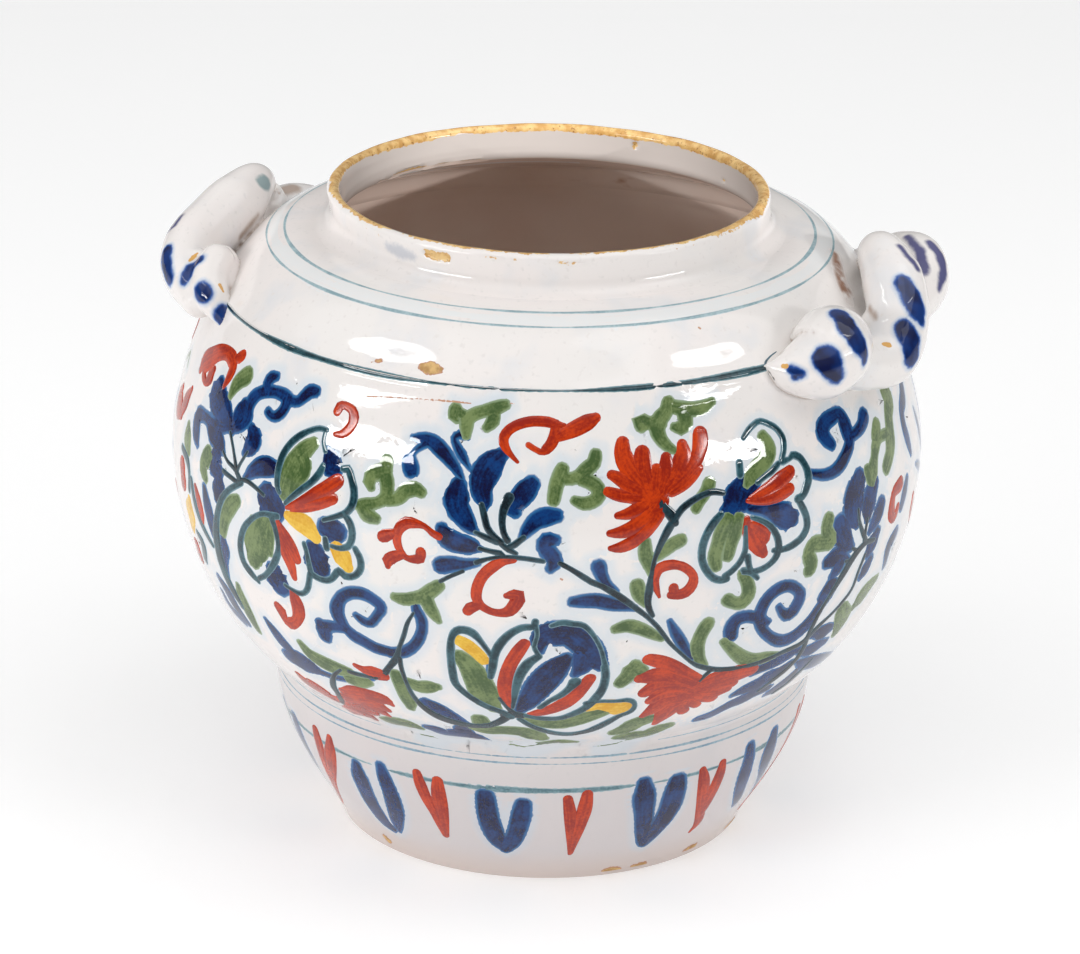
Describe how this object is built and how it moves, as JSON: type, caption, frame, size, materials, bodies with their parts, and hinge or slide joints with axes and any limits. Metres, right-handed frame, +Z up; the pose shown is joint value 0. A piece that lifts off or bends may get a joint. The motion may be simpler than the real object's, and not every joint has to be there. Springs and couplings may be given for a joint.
{
  "type": "jar",
  "caption": "Wide-bellied tin-glazed earthenware jar with a low collar, a narrow spreading foot and rope-twist handles pressed onto its shoulder.",
  "frame": {"origin": "centre of the standing ring, on the surface the jar stands on", "axes": "+Z up the jar's axis to the mouth, +X and -X through the two handles, -Y to the painted front"},
  "size_m": [0.2131, 0.2, 0.1744],
  "materials": {
    "body_glaze": "glossy white tin glaze with painted flowers",
    "rim_glaze": "glaze worn to ochre clay along the rim",
    "handle_glaze": "glossy white tin glaze with blue dabs"
  },
  "bodies": {
    "root": {"foot": "body_glaze", "belly": "body_glaze", "shoulder": "body_glaze", "collar": "rim_glaze", "right_handle_strand_1": "handle_glaze", "right_handle_strand_2": "handle_glaze", "right_handle_front_pad": "handle_glaze", "right_handle_rear_pad": "handle_glaze", "left_handle_strand_1": "handle_glaze", "left_handle_strand_2": "handle_glaze", "left_handle_front_pad": "handle_glaze", "left_handle_rear_pad": "handle_glaze"}
  },
  "joints": []
}
